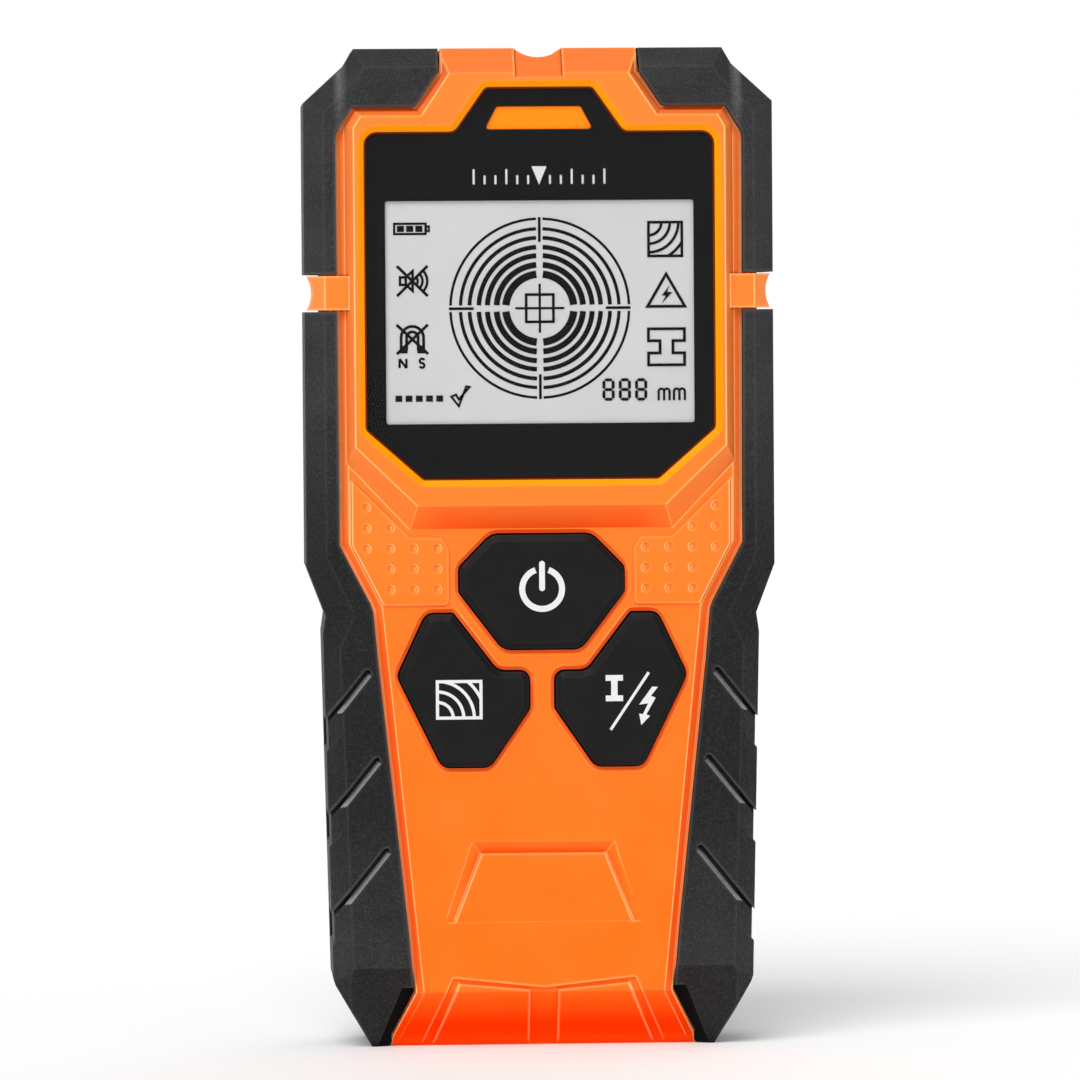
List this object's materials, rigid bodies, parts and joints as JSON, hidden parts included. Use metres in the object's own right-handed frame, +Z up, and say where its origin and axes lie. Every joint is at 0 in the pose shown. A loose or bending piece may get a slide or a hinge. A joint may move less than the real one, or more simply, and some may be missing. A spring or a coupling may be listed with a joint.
{
  "type": "stud finder",
  "caption": "Handheld wall scanner with a framed display, rubber corner bumpers and grips, press keys, and a hinged battery door on its rear.",
  "frame": {"origin": "centre of the bounding box's bottom face, on the standing base", "axes": "+Z up along the body from the battery end to the sensor end, -Y out of the front face with the display, +X to the right of the front face"},
  "size_m": [0.069, 0.027, 0.147],
  "materials": {
    "shell_orange": "fine moulded satin, orange",
    "shell_black": "fine moulded texture, black",
    "rubber": "spark-eroded grain, matte",
    "clear_lens": "polished clear acrylic",
    "lens_mask": "black printed film",
    "amber_lens": "translucent amber, smooth",
    "led": "epoxy",
    "display_glass": "satin polariser over glass",
    "white_plastic": "moulded white",
    "elastomer": "soft silicone",
    "key_rubber": "matte silicone",
    "carbon": "conductive carbon pill",
    "circuit_board": "solder mask green",
    "black_plastic": "moulded black",
    "copper": "enamelled copper winding",
    "battery_jacket": "printed steel jacket, satin",
    "nickel": "nickel plated",
    "foam": "closed-cell foam",
    "wire_red": "PVC insulation",
    "wire_black": "PVC insulation",
    "screw_steel": "zinc-plated steel",
    "label_film": "satin film label, blank",
    "felt": "pressed felt"
  },
  "bodies": {
    "case": {"front_shell": "shell_orange", "rear_shell": "shell_black", "bumper_right": "rubber", "bumper_left": "rubber", "grip_right": "rubber", "grip_left": "rubber", "display_window": "clear_lens", "window_mask": "lens_mask", "indicator_lens": "amber_lens", "indicator_led": "led", "lcd_glass": "display_glass", "light_guide": "white_plastic", "display_frame": "white_plastic", "coil_bobbin": "white_plastic", "lcd_connector": "elastomer", "key_spacer": "elastomer", "main_board": "circuit_board", "sensor_board": "circuit_board", "microcontroller": "black_plastic", "buzzer": "black_plastic", "terminal_plate": "black_plastic", "search_coil": "copper", "battery": "battery_jacket", "battery_positive": "nickel", "battery_negative": "nickel", "battery_pad": "foam", "wire_red": "wire_red", "wire_black": "wire_black", "case_screw_1": "screw_steel", "case_screw_2": "screw_steel", "case_screw_3": "screw_steel", "case_screw_4": "screw_steel", "rear_label": "label_film", "glide_pad_upper": "felt", "glide_pad_lower": "felt"},
    "power_key": {"power_button": "key_rubber", "power_contact": "carbon"},
    "metal_key": {"metal_button": "key_rubber", "metal_contact": "carbon"},
    "wood_key": {"wood_button": "key_rubber", "wood_contact": "carbon"},
    "battery_cover": {"battery_door": "shell_black"}
  },
  "joints": [
    {"name": "power_press", "type": "slide", "parent": "case", "child": "power_key", "axis": [0, 1, 0], "range_m": [0, 0.001], "stiffness_N_per_m": 900, "springref_m": -0.0008},
    {"name": "metal_press", "type": "slide", "parent": "case", "child": "metal_key", "axis": [0, 1, 0], "range_m": [0, 0.001], "stiffness_N_per_m": 900, "springref_m": -0.0008},
    {"name": "wood_press", "type": "slide", "parent": "case", "child": "wood_key", "axis": [0, 1, 0], "range_m": [0, 0.001], "stiffness_N_per_m": 900, "springref_m": -0.0008},
    {"name": "battery_door_hinge", "type": "hinge", "parent": "case", "child": "battery_cover", "pos_m": [0, 0.0118, 0.0356], "axis": [1, 0, 0], "range_deg": [0, 92]}
  ]
}
